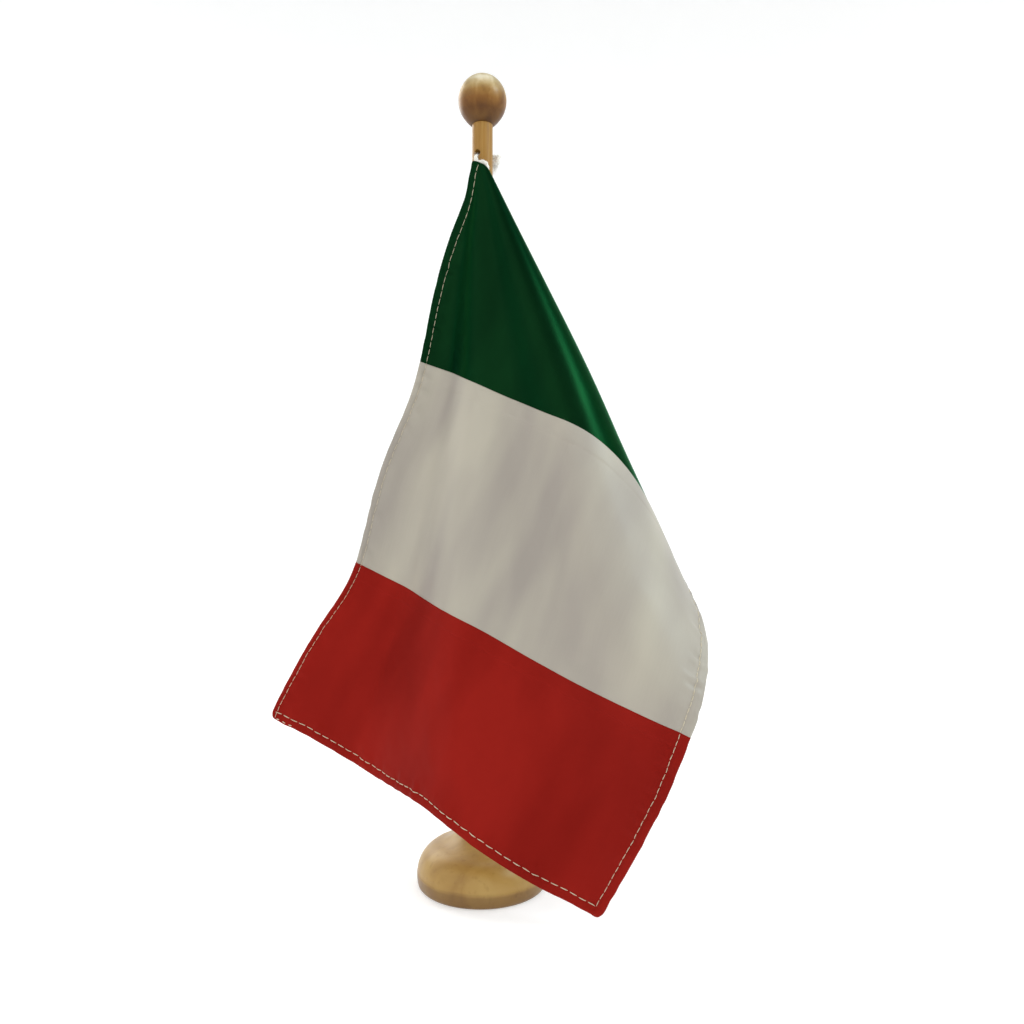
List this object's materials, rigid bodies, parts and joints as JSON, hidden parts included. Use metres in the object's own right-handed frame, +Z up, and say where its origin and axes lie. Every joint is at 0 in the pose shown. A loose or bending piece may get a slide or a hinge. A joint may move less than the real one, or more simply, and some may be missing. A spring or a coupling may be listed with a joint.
{
  "type": "desk flag stand",
  "caption": "Small table flag on a turned wooden stand: round foot, dowel pole with a ball, and a sewn three-stripe cloth flag tied to the pole by its hoist cord.",
  "frame": {"origin": "centre of the foot's flat underside, on the pole's axis", "axes": "+Z up along the pole, -Y towards the side the flag's front layer faces"},
  "size_m": [0.1588, 0.0814, 0.3009],
  "materials": {
    "foot_wood": "clear satin lacquer on pale beech",
    "pole_wood": "clear satin lacquer on beech dowel",
    "ball_wood": "clear gloss lacquer on beech",
    "cord_cotton": "twisted white cotton",
    "sleeve_tape": "plain woven white tape",
    "green_satin": "polyester satin",
    "white_satin": "polyester satin",
    "red_satin": "polyester satin",
    "stitch_thread": "spun polyester thread"
  },
  "bodies": {
    "stand": {"base_foot": "foot_wood"},
    "mast": {"pole": "pole_wood", "finial_ball": "ball_wood", "hoist_cord": "cord_cotton", "upper_knot": "cord_cotton", "lower_knot": "cord_cotton"},
    "flag": {"hoist_sleeve": "sleeve_tape", "green_panel": "green_satin", "white_panel": "white_satin", "red_panel": "red_satin", "top_hem_thread": "stitch_thread", "bottom_hem_thread": "stitch_thread", "fly_hem_thread": "stitch_thread", "hoist_thread": "stitch_thread", "green_seam_thread": "stitch_thread", "red_seam_thread": "stitch_thread"}
  },
  "joints": [
    {"name": "pole_lift", "type": "slide", "parent": "stand", "child": "mast", "axis": [0, 0, 1], "range_m": [0, 0.03]},
    {"name": "flag_swing", "type": "hinge", "parent": "mast", "child": "flag", "pos_m": [0.0016, -0.0054, 0.19], "axis": [0, 0, 1], "range_deg": [-30, 60]}
  ]
}
